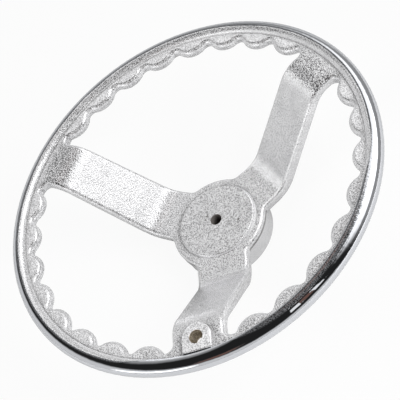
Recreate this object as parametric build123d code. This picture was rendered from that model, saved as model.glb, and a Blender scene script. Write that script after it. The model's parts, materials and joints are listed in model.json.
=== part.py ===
from build123d import *
from math import atan2, cos, degrees, hypot, pi, radians, sin, sqrt, tan
import os

# Machine handwheel, 10 inch: one dished iron casting with three spokes, a round polished rim,
# a scalloped ring of finger grips inside it, a solid hub with a pilot hole and a tapped pad for the handle.
# Millimetres. Origin at the middle of the hub's rear face, +Z along the shaft towards the operator,
# the spoke that carries the handle along +X.

# Overall sizes
rim_diameter = 254.0
rim_crest_height = 70.2
hub_diameter = 66.0
hub_face_height = 18.4
spoke_count = 3
plate_thickness = 7.5
edge_round = 2.4

# Rim: a round bead, and inside it a flat ring in the plane of the spokes' ends
bead_radius = 5.25
plate_drop = 3.55
ring_width = 13.6
ring_front_round = 3.2
ring_back_round = 3.4
seam_overlap = 2.5

# Finger grips: round lobes along the ring's inner edge, as many as fit between two spokes
grip_spacing = 24.5
grip_radius = 12.7
grip_reach = 5.6

# Spokes
spoke_rim_width = 33.0
spoke_hub_width = 35.2
rim_bend_inset = 31.0
hub_bend_offset = 12.0
rim_bend_radius = 22.0
hub_bend_radius = 18.0
rim_flare = 4.5
hub_flare = 7.0

# Hub
barrel_inset = 0.5
barrel_chamfer = 1.0
face_inset = 6.05
face_raise = 2.0
face_round = 0.9
face_foot_round = 0.6
pilot_diameter = 7.94

# Handle pad
handle_inset = 18.5
handle_hole_diameter = 7.94
handle_hole_chamfer = 0.3
pad_radius = 9.1
pad_raise = 2.3
pad_round = 0.8

# Sizes that follow from those above
rim_radius = rim_diameter / 2
hub_radius = hub_diameter / 2
barrel_radius = hub_radius - barrel_inset
face_radius = hub_radius - face_inset
face_height = hub_face_height + face_raise
lip_back = hub_face_height - plate_thickness
bead_ring = rim_radius - bead_radius
bead_height = rim_crest_height - bead_radius
plate_height = rim_crest_height - plate_drop
plate_back = plate_height - plate_thickness
ring_radius = rim_radius - ring_width
seam_radius = bead_ring - sqrt(bead_radius ** 2 - (plate_height - bead_height) ** 2) + seam_overlap
rim_bend_at = rim_radius - rim_bend_inset
hub_bend_at = hub_radius + hub_bend_offset
handle_radius = rim_radius - handle_inset
spoke_turn = 360 / spoke_count
grip_pitch = degrees(grip_spacing / ring_radius)
free_arc = 2 * pi * ring_radius / spoke_count - spoke_rim_width - rim_flare
grips_per_bay = int(free_arc / grip_spacing)


def bored(radius, height, base=0.0):
    """An upright cylinder on the shaft axis from a base height."""
    return Pos(0, 0, base) * Cylinder(radius, height, align=(Align.CENTER, Align.CENTER, Align.MIN))


def polar(radius, turn):
    """The point at a radius and an angle about the shaft axis."""
    return Vector(radius * cos(radians(turn)), radius * sin(radians(turn)))


def arc_about(centre, start, end):
    """The short arc about a centre from one point to another."""
    size = (start - centre).length
    middle = centre + (start + end - centre * 2).normalized() * size
    return ThreePointArc(start, middle, end)


def grip_arcs(turn):
    """The outline of one grip at an angle: half a valley, the round lobe and half a valley, all tangent.
    The valley's radius follows from the three sides of the triangle shaft, lobe centre, valley centre."""
    lobe_ring = ring_radius - grip_reach + grip_radius
    reach_cos = 2 * lobe_ring * cos(radians(grip_pitch / 2))
    spare = lobe_ring ** 2 + ring_radius ** 2 - reach_cos * ring_radius - grip_radius ** 2
    valley_round = spare / (2 * grip_radius + 2 * ring_radius - reach_cos)
    lobe = polar(lobe_ring, turn)
    ends = []
    for side in (-0.5, 0.5):
        valley = polar(ring_radius - valley_round, turn + side * grip_pitch)
        bottom = polar(ring_radius, turn + side * grip_pitch)
        touch = lobe + (valley - lobe).normalized() * grip_radius
        ends.append((valley, bottom, touch))
    (valley_in, start, leave), (valley_out, end, arrive) = ends
    return [
        arc_about(valley_in, start, leave),
        ThreePointArc(leave, polar(ring_radius - grip_reach, turn), arrive),
        arc_about(valley_out, arrive, end),
    ]


def ring():
    """The flat ring inside the bead: a disc cut out along the grips, its inner edges rounded."""
    half_bay = grips_per_bay * grip_pitch / 2
    outline = Curve()
    for bay in range(spoke_count):
        landing = bay * spoke_turn
        middle = landing + spoke_turn / 2
        outline += ThreePointArc(
            polar(ring_radius, middle - spoke_turn + half_bay),
            polar(ring_radius, landing),
            polar(ring_radius, middle - half_bay),
        )
        for place in range(grips_per_bay):
            outline += grip_arcs(middle - half_bay + (place + 0.5) * grip_pitch)
    plate = extrude(Pos(0, 0, plate_back) * (Circle(seam_radius) - make_face(outline)), plate_thickness)
    front = plate.edges().group_by(Axis.Z)[-1].sort_by(SortBy.LENGTH)[:-1]
    plate = fillet(front, ring_front_round)
    back = plate.edges().group_by(Axis.Z)[0].sort_by(SortBy.LENGTH)[:-1]
    return fillet(back, ring_back_round)


def rim():
    """The bead turned about the shaft, drawn down in a tangent web to the ring's rear outer edge."""
    bead = Pos(bead_ring, bead_height) * Circle(bead_radius)
    foot = Line((seam_radius, plate_back), (seam_radius, bead_height))
    return revolve(Plane.XZ * make_hull(bead.edges() + foot.edges()), Axis.Z)


def flare(start, along, side, ring, radius):
    """Arc that leaves a flank line and ends tangent to a ring about the origin.
    The radius is positive outside the ring and negative inside it."""
    size = abs(radius)
    base = start + side * size
    forward = base.dot(along)
    step = sqrt((ring + radius) ** 2 - base.dot(base) + forward ** 2) - forward
    centre = base + along * step
    on_flank = centre - side * size
    on_ring = centre * (ring / (ring + radius))
    middle = centre + (on_flank + on_ring - centre * 2).normalized() * size
    return [on_flank, middle, on_ring]


def spoke_plan():
    """Plan outline of the spoke on +X: tapered flanks flared into the hub and into the ring."""
    inner = Vector(hub_bend_at, spoke_hub_width / 2)
    outer = Vector(rim_bend_at, spoke_rim_width / 2)
    along = (outer - inner).normalized()
    side = Vector(-along.Y, along.X)
    at_hub = flare(inner, along, side, hub_radius, hub_flare)
    at_rim = flare(inner, along, side, ring_radius, -rim_flare)
    hub_in = at_hub[2] * (face_radius / hub_radius)
    rim_out = at_rim[2] * (seam_radius / ring_radius)
    outline = Curve() + [
        Line(hub_in, at_hub[2]),
        ThreePointArc(at_hub[2], at_hub[1], at_hub[0]),
        Line(at_hub[0], at_rim[0]),
        ThreePointArc(*at_rim),
        Line(at_rim[2], rim_out),
    ]
    outline += mirror(outline, Plane.XZ)
    outline += ThreePointArc(rim_out, (seam_radius, 0), (rim_out.X, -rim_out.Y))
    outline += Line((hub_in.X, -hub_in.Y), hub_in)
    return make_face(outline)


def spoke_side():
    """Side profile of a spoke: flat at the rim, sloping back, flat again into the hub."""
    slope = atan2(plate_height - hub_face_height, rim_bend_at - hub_bend_at)
    shift = plate_thickness * tan(slope / 2)
    profile = Polygon(
        (0, hub_face_height), (hub_bend_at, hub_face_height),
        (rim_bend_at, plate_height), (rim_radius, plate_height),
        (rim_radius, plate_back), (rim_bend_at + shift, plate_back),
        (hub_bend_at + shift, lip_back), (0, lip_back),
        align=None,
    )
    bends = [
        (hub_bend_at, hub_face_height, hub_bend_radius),
        (hub_bend_at + shift, lip_back, hub_bend_radius + plate_thickness),
        (rim_bend_at, plate_height, rim_bend_radius),
        (rim_bend_at + shift, plate_back, rim_bend_radius - plate_thickness),
    ]
    for x, y, radius in bends:
        profile = fillet(profile.vertices().sort_by_distance((x, y, 0))[0], radius)
    return Plane.XZ * profile


def spoke():
    """The spoke on +X: the side profile kept inside the plan outline, its long edges rounded."""
    slab = extrude(spoke_side(), rim_radius, both=True)
    bar = slab & extrude(spoke_plan(), rim_crest_height)
    long_edges = []
    for edge in bar.edges():
        middle = edge @ 0.5
        reach = hypot(middle.X, middle.Y)
        upright = abs((edge % 0.5).Z) > 0.99
        if not upright and abs(middle.Y) > pad_radius and hub_radius < reach < ring_radius:
            long_edges.append(edge)
    return fillet(long_edges, edge_round)


def hub():
    """Solid hub: turned barrel, cast lip in line with the spokes and a raised round face."""
    profile = Polygon(
        (0, 0), (barrel_radius, 0), (barrel_radius, lip_back), (hub_radius, lip_back),
        (hub_radius, hub_face_height), (face_radius, hub_face_height),
        (face_radius, face_height), (0, face_height),
        align=None,
    )
    rounds = [
        (hub_radius, hub_face_height, edge_round),
        (face_radius, hub_face_height, face_foot_round),
        (face_radius, face_height, face_round),
    ]
    for x, y, radius in rounds:
        profile = fillet(profile.vertices().sort_by_distance((x, y, 0))[0], radius)
    profile = chamfer(profile.vertices().sort_by_distance((barrel_radius, 0, 0))[0], barrel_chamfer)
    return revolve(Plane.XZ * profile, Axis.Z)


def pad():
    """Raised pad for the handle: a round end towards the hub, running out into the rim."""
    root = plate_height - plate_thickness / 2
    outline = Pos(handle_radius) * Circle(pad_radius)
    outline += Pos((handle_radius + bead_ring) / 2) * Rectangle(bead_ring - handle_radius, 2 * pad_radius)
    block = extrude(Pos(0, 0, root) * outline, plate_height + pad_raise - root)
    return fillet(block.edges().group_by(Axis.Z)[-1], pad_round)


def handle_hole():
    """What the tapped hole takes out of the pad: the bore at the thread's full size and its chamfer."""
    radius = handle_hole_diameter / 2
    bore = bored(radius, plate_thickness + pad_raise, plate_back)
    mouth = Cone(
        radius, radius + handle_hole_chamfer, handle_hole_chamfer,
        align=(Align.CENTER, Align.CENTER, Align.MAX),
    )
    return Pos(handle_radius) * (bore + Pos(0, 0, plate_height + pad_raise) * mouth)


def handwheel():
    """The whole casting, then its pilot hole and its handle hole."""
    spokes = [Rot(0, 0, turn * spoke_turn) * spoke() for turn in range(spoke_count)]
    casting = hub().fuse(*spokes, ring(), rim(), pad())
    return casting - bored(pilot_diameter / 2, face_height) - handle_hole()


os.makedirs("parts", exist_ok=True)
wheel = handwheel()
wheel.label = "handwheel"
export_step(wheel, "parts/handwheel.step")
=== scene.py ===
import json
from math import cos, degrees, pi, radians, sin
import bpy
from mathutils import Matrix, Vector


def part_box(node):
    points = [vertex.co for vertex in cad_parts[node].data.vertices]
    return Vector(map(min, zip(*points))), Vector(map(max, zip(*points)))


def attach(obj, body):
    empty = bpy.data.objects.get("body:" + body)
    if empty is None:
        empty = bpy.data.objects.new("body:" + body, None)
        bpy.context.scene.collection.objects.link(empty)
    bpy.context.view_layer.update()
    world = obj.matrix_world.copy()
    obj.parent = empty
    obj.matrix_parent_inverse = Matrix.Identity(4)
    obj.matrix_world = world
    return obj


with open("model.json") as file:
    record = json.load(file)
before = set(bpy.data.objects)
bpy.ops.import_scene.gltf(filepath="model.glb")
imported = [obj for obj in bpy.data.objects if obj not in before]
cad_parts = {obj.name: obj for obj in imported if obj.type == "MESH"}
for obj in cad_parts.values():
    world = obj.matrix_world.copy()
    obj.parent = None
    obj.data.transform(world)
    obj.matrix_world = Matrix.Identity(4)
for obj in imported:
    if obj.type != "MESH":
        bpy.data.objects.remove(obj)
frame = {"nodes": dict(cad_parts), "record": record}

from types import SimpleNamespace

import bpy
import numpy as np
from mathutils import Quaternion, Vector

# Machine handwheel, dressed: one plated casting and the thread of its handle hole.
# Metres, with +Z up the shaft towards the operator and +X from the shaft to the handle hole.
# The materials count in millimetres, and the room that the metal mirrors counts in degrees.
MM = 0.001

casting = frame["nodes"]["handwheel"]
mounts = {mount["name"]: mount for mount in frame["record"]["mounts"]}
low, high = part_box("handwheel")
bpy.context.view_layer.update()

# Sizes read from the frame
rim_radius = high.x
rim_crest = high.z
hole_centre = Vector(mounts["handle_hole"]["pos_m"])
hole_radius = mounts["handle_hole"]["dims"]["r_mm"] * MM
pilot_radius = mounts["pilot_bore"]["dims"]["r_mm"] * MM
pad_height = mounts["handle_seat"]["pos_m"][2]
face_height = mounts["hub_front"]["pos_m"][2]

# Sizes of the casting that its finishes and its thread follow
bead_radius = 5.25 * MM
bead_ring = rim_radius - bead_radius
seam_ring = bead_ring - 4.967 * MM
plate_height = rim_crest - 3.55 * MM
plate_thickness = 7.5 * MM
lip_radius = 33.0 * MM
barrel_radius = 32.5 * MM
barrel_top = 10.9 * MM
face_radius = 26.95 * MM
pad_radius = 9.1 * MM

# How metallic bare iron is, in the thread and in the hole's wall alike
iron_metal = 0.85

# Camera: where it stands, what it looks at, how far it is rolled, and its focal length on a 36 mm sensor
camera_place = (0.37459, 0.20016, 0.52330)
camera_aim = (-0.00426, -0.00187, 0.0400)
camera_roll = -40.817
camera_lens = 90.288
sensor_width = 36.0
nearest_seen = 0.01
farthest_seen = 20.0

# Lamps: name, place, width of the disk and power, all aimed at the middle of the wheel's dish
lamps = (
    ("left_fill", (0.39, 1.20, 0.83), 1.0, 38.0),
    ("right_fill", (0.62, -1.07, 0.86), 1.0, 20.0),
)
lamp_aim = (0, 0, 0.03)

# Sockets of a Mix node that blends colours, by number: its other kinds have sockets of the same names
MIX_FACTOR, MIX_FIRST, MIX_SECOND, MIX_RESULT = 0, 6, 7, 2


def mm(length):
    """A length in millimetres, which the materials count in."""
    return length / MM


def colour(red, green, blue):
    """An opaque colour."""
    return (red, green, blue, 1.0)


WHITE = colour(1.0, 1.0, 1.0)


# ---------------------------------------------------------------- shader graphs

class Graph:
    """Writes a shader's node tree as expressions. Every value is a number, a colour or a node's socket.
    A mask is a value from 0, not there, to 1, wholly there."""

    def __init__(self, tree):
        self.tree = tree
        tree.nodes.clear()

    def node(self, kind, inputs=None, **settings):
        """A node with its settings, and its inputs, by name or number, linked or written in."""
        made = self.tree.nodes.new(kind)
        for name, value in settings.items():
            setattr(made, name, value)
        for name, value in (inputs or {}).items():
            if isinstance(value, bpy.types.NodeSocket):
                self.tree.links.new(value, made.inputs[name])
            else:
                made.inputs[name].default_value = value
        return made

    def math(self, operation, *values):
        """The result of one operation."""
        return self.node("ShaderNodeMath", dict(enumerate(values)), operation=operation).outputs[0]

    def chain(self, operation, total, *values):
        """The result of one operation carried through several values."""
        for value in values:
            total = self.math(operation, total, value)
        return total

    def add(self, *values):
        return self.chain("ADD", *values)

    def times(self, *values):
        return self.chain("MULTIPLY", *values)

    def most(self, *values):
        return self.chain("MAXIMUM", *values)

    def less(self, value, taken):
        return self.math("SUBTRACT", value, taken)

    def invert(self, value):
        return self.less(1.0, value)

    def length(self, across, aside):
        """How far a point is from zero, from its two coordinates."""
        return self.math("SQRT", self.add(self.times(across, across), self.times(aside, aside)))

    def rise(self, value, start, end):
        """A smooth step up: 0 before start, 1 after end."""
        made = self.node(
            "ShaderNodeMapRange",
            {"Value": value, "From Min": start, "From Max": end},
            interpolation_type="SMOOTHSTEP",
        )
        return made.outputs["Result"]

    def fall(self, value, start, end):
        """A smooth step down: 1 before start, 0 after end."""
        return self.invert(self.rise(value, start, end))

    def span(self, value, start, end, soft):
        """A smooth window: 1 from start to end, 0 a soft width outside."""
        return self.times(self.rise(value, start - soft, start), self.fall(value, end, end + soft))

    def blend(self, factor, first, second):
        """A number part way from the first to the second."""
        return self.add(first, self.times(factor, self.less(second, first)))

    def tint(self, factor, first, second):
        """A colour part way from the first to the second."""
        inputs = {MIX_FACTOR: factor, MIX_FIRST: first, MIX_SECOND: second}
        return self.node("ShaderNodeMix", inputs, data_type="RGBA").outputs[MIX_RESULT]

    def noise(self, place, scale, detail=2.0, roughness=0.5):
        """Cloudy noise from 0 to 1, its scale in lumps per unit of place."""
        inputs = {"Vector": place, "Scale": scale, "Detail": detail, "Roughness": roughness}
        return self.node("ShaderNodeTexNoise", inputs).outputs["Fac"]

    def millimetres(self, place):
        """A piece's own coordinates in millimetres."""
        return self.node("ShaderNodeMapping", {"Vector": place, "Scale": (1 / MM, 1 / MM, 1 / MM)}).outputs[0]

    def surface(self, base, metal, gloss, relief):
        """The material's surface: its colour, how metallic and how rough it is, and its relief in millimetres."""
        bump = self.node("ShaderNodeBump", {"Height": relief, "Distance": MM, "Strength": 1.0}).outputs[0]
        inputs = {"Base Color": base, "Metallic": metal, "Roughness": gloss, "Normal": bump}
        shader = self.node("ShaderNodeBsdfPrincipled", inputs).outputs[0]
        self.node("ShaderNodeOutputMaterial", {"Surface": shader})


def graph_of(owner):
    """An empty graph in a material or a world."""
    owner.use_nodes = True
    return Graph(owner.node_tree)


# ---------------------------------------------------------------- camera and stage

def link(made):
    """Puts an object in the scene."""
    bpy.context.scene.collection.objects.link(made)


def place_camera():
    """Stands the camera at its place, turned so that it looks at its aim and then rolled about its view."""
    data = bpy.data.cameras.new("camera")
    data.sensor_fit = "HORIZONTAL"
    data.sensor_width = sensor_width
    data.lens = camera_lens
    data.clip_start = nearest_seen
    data.clip_end = farthest_seen
    camera = bpy.data.objects.new("camera", data)
    link(camera)
    view = Vector(camera_aim) - Vector(camera_place)
    roll = Quaternion((0, 0, 1), radians(camera_roll))
    camera.rotation_mode = "QUATERNION"
    camera.rotation_quaternion = view.to_track_quat("-Z", "Y") @ roll
    camera.location = camera_place
    bpy.context.scene.camera = camera


def light_room():
    """The room as the metal sees it, by direction, in degrees: dark overhead, a wide softbox with a brighter core
    and a dim glow below it, a window with a wooden post between its panes, a low strip light, more wood, and a
    pale backdrop that fills everything under a sloping horizon. The camera itself sees plain white."""
    world = bpy.data.worlds.new("room")
    bpy.context.scene.world = world
    g = graph_of(world)
    way = g.node("ShaderNodeTexCoord").outputs["Generated"]
    axes = g.node("ShaderNodeSeparateXYZ", {"Vector": way}).outputs
    height = g.times(g.math("ARCSINE", axes["Z"]), degrees(1.0))
    turn = g.times(g.math("ARCTAN2", axes["Y"], axes["X"]), degrees(1.0))

    def beside(heading):
        """Degrees between a direction's own heading and another."""
        return g.math("ABSOLUTE", g.math("WRAP", g.less(turn, heading), 180.0, -180.0))

    def round_heading(heading, whole, gone):
        """Whole up to some degrees beside a heading and gone past others."""
        return g.fall(beside(heading), whole, gone)

    def patch(heading, whole, gone, bottom, top, soft):
        """A soft patch round a heading, between two heights."""
        return g.times(round_heading(heading, whole, gone), g.span(height, bottom, top, soft))

    def pane(left, right, bottom, top):
        """An upright strip between two headings and two heights, crisper at its sides than at its ends."""
        return g.times(g.span(turn, left, right, soft=2.0), g.span(height, bottom, top, soft=4.0))

    glow = g.times(round_heading(heading=150.0, whole=62.0, gone=88.0), g.fall(height, start=30.0, end=54.0))
    softbox = patch(heading=145.0, whole=27.0, gone=47.0, bottom=38.0, top=57.0, soft=8.0)
    core = patch(heading=112.0, whole=18.0, gone=46.0, bottom=36.0, top=60.0, soft=8.0)
    strip = patch(heading=318.0, whole=14.0, gone=26.0, bottom=8.0, top=20.0, soft=5.0)
    window = g.add(
        pane(left=27.5, right=33.0, bottom=46.0, top=64.0),
        pane(left=45.0, right=50.5, bottom=46.0, top=64.0),
    )
    wood = g.add(
        patch(heading=190.0, whole=6.0, gone=22.0, bottom=66.0, top=78.0, soft=6.0),
        patch(heading=342.0, whole=5.0, gone=16.0, bottom=36.0, top=48.0, soft=6.0),
        pane(left=36.0, right=42.0, bottom=48.0, top=66.0),
    )
    darkness = 0.016
    strengths = ((glow, 0.28), (softbox, 1.15), (core, 1.25), (window, 0.9), (wood, 0.14), (strip, 1.70))
    lit = g.add(darkness, *(g.times(part, strength) for part, strength in strengths))
    reddish = colour(1.0, 0.55, 0.45)
    hue = g.tint(wood, WHITE, reddish)

    # The backdrop is highest at its own heading and sinks in two stages away from it
    backdrop_heading, backdrop_strength = 285.0, 0.64
    highest, first_drop, second_drop = 38.0, 20.0, 26.0
    away = beside(backdrop_heading)
    sinking = g.add(
        g.times(g.rise(away, start=0.0, end=110.0), first_drop),
        g.times(g.rise(away, start=112.0, end=150.0), second_drop),
    )
    above_horizon = g.add(g.less(height, highest), sinking)
    backdrop = g.fall(above_horizon, start=-9.0, end=8.0)

    level = g.most(g.times(backdrop, backdrop_strength), lit)
    shade = g.node("ShaderNodeBackground", {"Color": hue, "Strength": level}).outputs[0]
    white = g.node("ShaderNodeBackground", {"Color": WHITE, "Strength": 1.0}).outputs[0]
    seen = g.node("ShaderNodeLightPath").outputs["Is Camera Ray"]
    mixed = g.node("ShaderNodeMixShader", {0: seen, 1: shade, 2: white}).outputs[0]
    g.node("ShaderNodeOutputWorld", {"Surface": mixed})


def hang_lamp(name, place, width, power):
    """A soft area lamp that lights matt surfaces and doesn't show in the polish."""
    data = bpy.data.lights.new(name, "AREA")
    data.shape = "DISK"
    data.size = width
    data.energy = power
    lamp = bpy.data.objects.new(name, data)
    link(lamp)
    lamp.location = place
    lamp.rotation_mode = "QUATERNION"
    lamp.rotation_quaternion = (Vector(lamp_aim) - Vector(place)).to_track_quat("-Z", "Y")
    lamp.visible_glossy = False


def floor_material():
    """Pale floor: a matt grey that takes the wheel's shadow, lifted most of the way to white where the camera
    sees it."""
    material = bpy.data.materials.new("pale_floor")
    g = graph_of(material)
    floor_grey, share_of_white = colour(0.42, 0.42, 0.42), 0.93
    matt = g.node("ShaderNodeBsdfDiffuse", {"Color": floor_grey}).outputs[0]
    white = g.node("ShaderNodeEmission", {"Color": WHITE, "Strength": 1.0}).outputs[0]
    seen = g.node("ShaderNodeLightPath").outputs["Is Camera Ray"]
    mixed = g.node("ShaderNodeMixShader", {0: g.times(seen, share_of_white), 1: matt, 2: white}).outputs[0]
    g.node("ShaderNodeOutputMaterial", {"Surface": mixed})
    return material


def lay_floor():
    """A floor under the hub, a hair below the wheel's lowest face: one flat face whose corners stand evenly round
    a circle."""
    radius, sides, gap = 4.0, 96, 0.02 * MM
    turn = np.linspace(0, 2 * pi, sides, endpoint=False)
    corners = np.stack([radius * np.cos(turn), radius * np.sin(turn), np.full(sides, low.z - gap)], axis=1)
    mesh = bpy.data.meshes.new("floor")
    mesh.from_pydata(corners.tolist(), [], [list(range(sides))])
    mesh.materials.append(floor_material())
    floor = bpy.data.objects.new("floor", mesh)
    link(floor)


# ---------------------------------------------------------------- thread of the handle hole

def add_piece(name, points, quads, material):
    """A mesh from whole arrays of corners and of four-sided faces, riding on the casting."""
    mesh = bpy.data.meshes.new(name)
    mesh.from_pydata(points.tolist(), [], quads.tolist())
    mesh.materials.append(material)
    piece = bpy.data.objects.new(name, mesh)
    link(piece)
    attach(piece, "root")


def handle_thread(material):
    """The 3/8-16 thread of the handle hole: one ridge wound up the bore's wall. Its section is a triangle, base
    just inside the iron and crest towards the axis. The section turns about the hole and climbs one pitch a turn,
    right-handed, and shrinks to a point over the first and the last third of a turn, which closes both ends."""
    pitch = 1.5875 * MM
    crest = 0.35 * MM
    sunk = 0.03 * MM
    foot = 0.95 * MM
    clear_below = 0.62 * MM
    clear_above = 0.95 * MM
    steps_a_turn, fades_a_turn, corners = 64, 3.0, 3
    start = plate_height - plate_thickness + clear_below
    turns = (pad_height - clear_above - start) / pitch
    steps = int(turns * steps_a_turn)
    along = np.linspace(0.0, turns, steps + 1)[:, None]
    full = np.clip(fades_a_turn * np.minimum(along, turns - along), 0.0, 1.0)
    inward = full * np.array([[0.0, 1.0, 0.0]]) * (crest + sunk)
    upward = full * np.array([[-0.5, 0.0, 0.5]]) * foot
    reach = hole_radius + sunk - inward
    angle = 2 * pi * along
    across = hole_centre.x + reach * np.cos(angle)
    aside = hole_centre.y + reach * np.sin(angle)
    level = start + pitch * along + upward
    points = np.stack([across, aside, level], axis=2).reshape(-1, 3)
    section = corners * np.arange(steps)[:, None]
    corner = np.arange(corners)[None, :]
    first = section + corner
    second = section + (corner + 1) % corners
    quads = np.stack([first, second, second + corners, first + corners], axis=2).reshape(-1, 4)
    add_piece("handle_thread", points, quads, material)


def rust_bloom(g, grid):
    """A mask of the brown bloom that the plating bath leaves on bare iron."""
    return g.rise(g.noise(grid, scale=1.1, detail=3.0, roughness=0.7), start=0.35, end=0.65)


def iron_material():
    """Bare iron of the thread, rougher and paler where the brown bloom lies."""
    material = bpy.data.materials.new("bare_iron")
    g = graph_of(material)
    grid = g.millimetres(g.node("ShaderNodeTexCoord").outputs["Object"])
    bloom = rust_bloom(g, grid)
    base = g.tint(bloom, colour(0.30, 0.25, 0.19), colour(0.58, 0.51, 0.40))
    gloss = g.blend(bloom, 0.28, 0.45)
    grain_height = 0.05
    relief = g.times(g.noise(grid, scale=2.5, roughness=0.6), grain_height)
    g.surface(base, iron_metal, gloss, relief)
    return material


# ---------------------------------------------------------------- finishes of the casting

def casting_places(g):
    """Where a point of the casting lies. The coordinates, the radius from the shaft and the ways from the handle
    hole and the pad's middle line are in millimetres; lie is how squarely the surface faces up the shaft, and
    along the cosine of the angle from the near side. The rest are masks."""
    where = g.node("ShaderNodeTexCoord").outputs
    grid = g.millimetres(where["Object"])
    lie = g.node("ShaderNodeSeparateXYZ", {"Vector": where["Normal"]}).outputs["Z"]
    axes = g.node("ShaderNodeSeparateXYZ", {"Vector": grid}).outputs
    x, y, z = axes["X"], axes["Y"], axes["Z"]
    radius = g.length(x, y)

    def towards(heading):
        """The cosine of the angle between a point's bearing about the shaft and a heading in degrees."""
        sides = g.add(g.times(x, cos(radians(heading))), g.times(y, sin(radians(heading))))
        return g.math("DIVIDE", sides, radius)

    # Round the wheel: its near side, the worn arc of its rim, and its spokes, at each of which the cosine of
    # three times the bearing is 1
    near_heading, worn_heading = 27.0, 45.0
    along = towards(near_heading)
    near = g.rise(along, start=0.60, end=0.80)
    worn = g.rise(towards(worn_heading), start=0.70, end=0.95)
    bearing = g.math("DIVIDE", x, radius)
    thrice = g.times(bearing, g.add(g.times(bearing, bearing, 4.0), -3.0))
    on_spoke = g.rise(thrice, start=0.76, end=0.90)

    # Up the shaft: everything at the rim's level, and the raised face of the hub
    upper = g.rise(z, start=58.0, end=60.0)
    on_face = g.times(g.fall(radius, mm(face_radius) - 0.3, mm(face_radius)), g.rise(z, start=19.0, end=20.0))

    # The pad: round towards the hub and straight towards the rim, where it runs out
    pad_start, pad_end = 94.0, 116.4
    from_hole = g.less(x, mm(hole_centre.x))
    hole_way = g.length(from_hole, y)
    pad_way = g.length(g.math("MINIMUM", from_hole, 0.0), y)
    by_pad = g.times(g.rise(x, pad_start, pad_start + 3.0), g.fall(x, pad_end, pad_end + 0.5), upper)
    on_pad = g.times(g.fall(pad_way, mm(pad_radius) - 0.3, mm(pad_radius)), by_pad)

    return SimpleNamespace(
        grid=grid, x=x, y=y, z=z, radius=radius, lie=lie, along=along, near=near, worn=worn, on_spoke=on_spoke,
        upper=upper, on_face=on_face, hole_way=hole_way, pad_way=pad_way, by_pad=by_pad, on_pad=on_pad,
    )


def casting_zones(g, at):
    """Masks of the finishes. Polished is the ground rim, from just inside its crest outwards and further in on
    the near side. Buffed is its mirror part, whose edge runs further in on the near side too, but outwards along
    the worn arc. Turned is the hub's barrel, its rear face and the lip's side up to the shelf. Bare is the walls
    of the holes."""
    crest = mm(bead_ring)
    shelf = mm(barrel_top) + 3.3
    near_ground, near_buffed, worn_buffed = 3.2, 5.0, -1.1

    sway = g.less(g.noise(at.grid, scale=0.05), 0.5)
    ground = g.add(at.radius, g.times(at.near, near_ground), sway)
    polished = g.rise(ground, crest - 1.25, crest - 0.75)
    shift = g.add(g.times(at.near, g.invert(at.worn), near_buffed), g.times(at.worn, worn_buffed))
    buffed = g.times(polished, g.rise(g.add(at.radius, shift), crest - 0.9, crest + 0.7))

    turned_edge = mm(barrel_radius) + 0.7
    turned = g.times(
        g.fall(at.radius, turned_edge, turned_edge + 0.3),
        g.fall(at.z, shelf - 0.3, shelf - 0.1),
    )
    in_hole = g.fall(at.hole_way, mm(hole_radius) + 0.10, mm(hole_radius) + 0.32)
    in_pilot = g.fall(at.radius, mm(pilot_radius) + 0.04, mm(pilot_radius) + 0.12)
    return SimpleNamespace(
        crest=crest, shelf=shelf, polished=polished, buffed=buffed, turned=turned,
        in_hole=in_hole, in_pilot=in_pilot, bare=g.most(in_hole, in_pilot),
    )


def casting_crease_shade(g, at, zone):
    """Painted shade: dark lines laid in the creases and under edges, deeper the higher the value: the ring's seam
    with the rim, the foot and the far edge of the hub's face, the foot of the pad, and the lip's side above the
    shelf. The relief also sinks a shallow groove along the same mask."""
    far_foot, near_foot, far_edge, lip_side = 1.3, 0.25, 0.9, 1.7
    seam_at = mm(seam_ring)
    foot_at = mm(face_radius) + 0.2
    edge_at = mm(face_radius) - 1.1
    pad_at = mm(pad_radius) + 0.05
    lip_at = mm(lip_radius)
    # Each mask below is painted shade: the seam, the foot of the face, its far edge, the foot of the pad and the
    # lip's side
    seam = g.times(g.span(at.radius, seam_at - 0.05, seam_at + 0.25, soft=0.3), at.upper)
    # The foot's painted shade is heavier on the far side of the wheel, and the edge's painted shadow lies on the
    # far side only
    foot = g.times(
        g.span(at.radius, foot_at, foot_at + 0.3, soft=0.3),
        g.rise(at.z, start=17.0, end=18.0),
        g.blend(g.rise(at.along, start=-0.5, end=0.5), far_foot, near_foot),
    )
    edge = g.times(
        g.span(at.radius, edge_at, edge_at + 0.5, soft=0.5),
        at.on_face,
        g.fall(at.along, start=-0.8, end=0.1),
        far_edge,
    )
    pad = g.times(g.span(at.pad_way, pad_at, pad_at + 0.35, soft=0.3), at.by_pad)
    lip = g.times(
        g.span(at.z, zone.shelf, zone.shelf + 1.1, soft=0.4),
        g.rise(at.radius, lip_at - 1.0, lip_at - 0.6),
        g.fall(at.radius, lip_at + 0.4, lip_at + 1.0),
        lip_side,
    )
    return g.most(seam, foot, edge, pad, lip)


def casting_pits(g, at):
    """Small sand pits, each a ragged round spot at a place, with its radius, in millimetres."""
    on_face = mm(face_height)
    pits = (
        ((5.4, 15.3, on_face), 0.9),
        ((-4.6, -6.2, on_face), 0.9),
        ((-2.2, -7.6, on_face), 0.6),
        ((2.6, 11.4, on_face), 0.6),
        ((65.3, 98.5, 67.2), 0.7),
    )
    raggedness, bottom, brim = 1.2, 0.5, 1.3
    ragged = g.times(g.less(g.noise(at.grid, scale=1.2), 0.5), raggedness)
    marks = 0.0
    for place, size in pits:
        away = g.node("ShaderNodeVectorMath", {0: at.grid, 1: place}, operation="DISTANCE").outputs["Value"]
        marks = g.add(marks, g.fall(g.add(away, ragged), size * bottom, size * brim))
    return g.math("MINIMUM", marks, 1.0)


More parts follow.
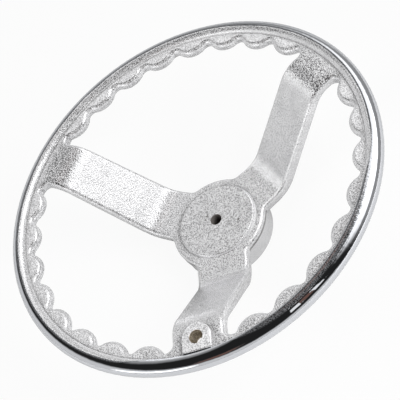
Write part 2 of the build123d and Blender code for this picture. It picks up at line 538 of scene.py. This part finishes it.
def casting_relief(g, at, zone, shaded_crease, pits):
    """Height of the surface in millimetres: the sand mould's grain under the plate, in coarse lumps and a fine
    peel, slow waves all over, the lathe's rings, the slope that grinding left on the worn arc, which deepens as
    the square of the way in from its foot, and the creases and pits."""
    lump_height, peel_height, wave_height, ring_height = 0.18, 0.04, 0.12, 0.002
    crease_depth, pit_depth = -0.10, -0.5
    ground_away, ring_turn = 0.60, 9.0
    slope_foot, slope_rise = 2.75, 0.055

    cast = g.invert(g.most(zone.buffed, zone.turned, g.times(zone.polished, ground_away)))
    lumps = g.times(g.noise(at.grid, scale=1.15), lump_height)
    peel = g.times(g.noise(at.grid, scale=0.55, detail=1.0), peel_height)
    waves = g.times(g.noise(at.grid, scale=0.12), wave_height)
    rings = g.times(zone.turned, g.math("SINE", g.times(g.add(at.z, at.radius), ring_turn)), ring_height)
    way_in = g.most(g.less(zone.crest + slope_foot, at.radius), 0.0)
    slope = g.times(way_in, way_in, at.worn, slope_rise, zone.polished, at.upper)
    return g.add(
        g.times(g.add(lumps, peel), cast),
        waves,
        rings,
        slope,
        g.times(shaded_crease, crease_depth),
        g.times(pits, pit_depth),
    )


def casting_colour(g, at, zone, shaded_crease, pits):
    """Chrome in two close greys over the cast skin, bluer on the polish and paler on the lathe's cut, painted
    shade in the creases, darker spots in the pits, and browned iron in the holes, darker in the pilot hole."""
    pale_chrome = colour(0.80, 0.80, 0.81)
    dim_chrome = colour(0.72, 0.72, 0.73)
    blue_chrome = colour(0.80, 0.815, 0.85)
    turned_chrome = colour(0.88, 0.88, 0.89)
    # Painted shade: the colour the creases darken towards
    crease_shade_colour = colour(0.16, 0.155, 0.15)
    # The colour the pits darken towards
    pit_dark_colour = colour(0.16, 0.15, 0.14)
    dark_iron = colour(0.24, 0.20, 0.15)
    brown_iron = colour(0.52, 0.45, 0.34)
    pilot_iron = colour(0.11, 0.10, 0.095)
    crease_shade_share, pit_share = 0.40, 0.8

    patch = g.rise(g.noise(at.grid, scale=0.09, detail=3.0, roughness=0.6), start=0.40, end=0.72)
    plate = g.tint(patch, pale_chrome, dim_chrome)
    plate = g.tint(zone.polished, plate, blue_chrome)
    plate = g.tint(zone.turned, plate, turned_chrome)
    # Painted shade: the creases darkened nearly to black
    plate = g.tint(g.times(shaded_crease, crease_shade_share), plate, crease_shade_colour)
    # The pits darkened nearly to black
    plate = g.tint(g.times(pits, pit_share), plate, pit_dark_colour)
    iron = g.tint(rust_bloom(g, at.grid), dark_iron, brown_iron)
    iron = g.tint(zone.in_pilot, iron, pilot_iron)
    return g.tint(zone.bare, plate, iron)


def casting_gloss(g, at, zone):
    """How rough the surface is: uneven over the cast skin, smoother where it is ground and smoothest where it is
    buffed, both crisper on the near half of the wheel, then the turned and the bare places."""
    smoothest_cast, roughest_cast = 0.15, 0.30
    far_ground, near_ground = 0.20, 0.12
    far_buffed, near_buffed = 0.08, 0.035
    turned_gloss, bare_gloss = 0.26, 0.38

    crisp = g.rise(at.along, start=-0.38, end=-0.12)
    uneven = g.noise(at.grid, scale=0.8, roughness=0.6)
    gloss = g.blend(uneven, smoothest_cast, roughest_cast)
    gloss = g.blend(zone.polished, gloss, g.blend(crisp, far_ground, near_ground))
    gloss = g.blend(zone.buffed, gloss, g.blend(crisp, far_buffed, near_buffed))
    gloss = g.blend(zone.turned, gloss, turned_gloss)
    return g.blend(zone.bare, gloss, bare_gloss)


def casting_metal(g, at, zone):
    """How metallic the surface is. Dull flecks speckle the cast skin. Flat places are duller, those at the hub's
    level more than those at the rim's, and so are the pad and the ring between the spokes on the far side. The
    bends of the spoke towards +Y are the dullest, and the outer ends of the two spokes without the pad are the
    brightest. Buffed metal is wholly metallic, turned metal nearly so, and the pilot hole isn't."""
    fleck, clean = 0.60, 0.95
    ground_fleck, full_metal, turned_metal = 0.90, 1.0, 0.8
    hub_flat, rim_flat, ring_flat, flat_fleck = -0.20, -0.14, -0.12, 0.035
    face_change, pad_change, bend_change, end_change = 0.02, -0.12, -0.42, 0.34

    specks = g.rise(g.noise(at.grid, scale=1.4, roughness=0.6), start=0.40, end=0.62)
    flat = g.rise(at.lie, start=0.92, end=0.99)
    bent = g.times(g.rise(at.lie, start=0.74, end=0.91), g.fall(at.lie, start=0.94, end=0.998))
    on_bends = g.times(bent, g.rise(at.y, start=18.0, end=24.0), g.fall(at.radius, start=96.0, end=101.0))
    on_ring = g.times(
        g.rise(at.radius, start=99.0, end=105.0),
        g.invert(at.on_spoke),
        g.invert(at.near),
        at.upper,
    )
    on_end = g.times(
        g.rise(at.radius, start=93.0, end=98.0),
        g.fall(at.radius, start=110.0, end=115.0),
        g.fall(at.x, start=70.0, end=80.0),
        at.on_spoke,
        at.upper,
    )
    flat_change = g.add(
        g.blend(at.upper, hub_flat, rim_flat),
        g.blend(specks, -flat_fleck, flat_fleck),
        g.times(on_ring, ring_flat),
    )
    skin = g.add(
        g.blend(specks, fleck, clean),
        g.times(at.on_face, face_change),
        g.times(at.on_pad, pad_change),
        g.times(flat, flat_change),
        g.times(on_end, specks, end_change),
        g.times(on_bends, bend_change),
    )
    polish = g.blend(zone.buffed, g.blend(specks, ground_fleck, full_metal), full_metal)
    metal = g.blend(zone.polished, skin, polish)
    metal = g.blend(zone.turned, metal, turned_metal)
    return g.blend(zone.bare, metal, g.times(zone.in_hole, iron_metal))


def casting_material(material):
    """Chrome plate over the iron. Where the iron was left as cast the plate follows its grain; the outer part of
    the rim was ground and buffed first; the hub's barrel and rear face were turned; the holes are bare iron."""
    g = graph_of(material)
    at = casting_places(g)
    zone = casting_zones(g, at)
    # Painted shade in the creases, which the relief also grooves
    shaded_crease = casting_crease_shade(g, at, zone)
    pits = casting_pits(g, at)
    g.surface(
        casting_colour(g, at, zone, shaded_crease, pits),
        casting_metal(g, at, zone),
        casting_gloss(g, at, zone),
        casting_relief(g, at, zone, shaded_crease, pits),
    )


bpy.context.scene.view_settings.view_transform = "Standard"
place_camera()
light_room()
for lamp in lamps:
    hang_lamp(*lamp)
lay_floor()
casting_material(casting.material_slots[0].material)
handle_thread(iron_material())
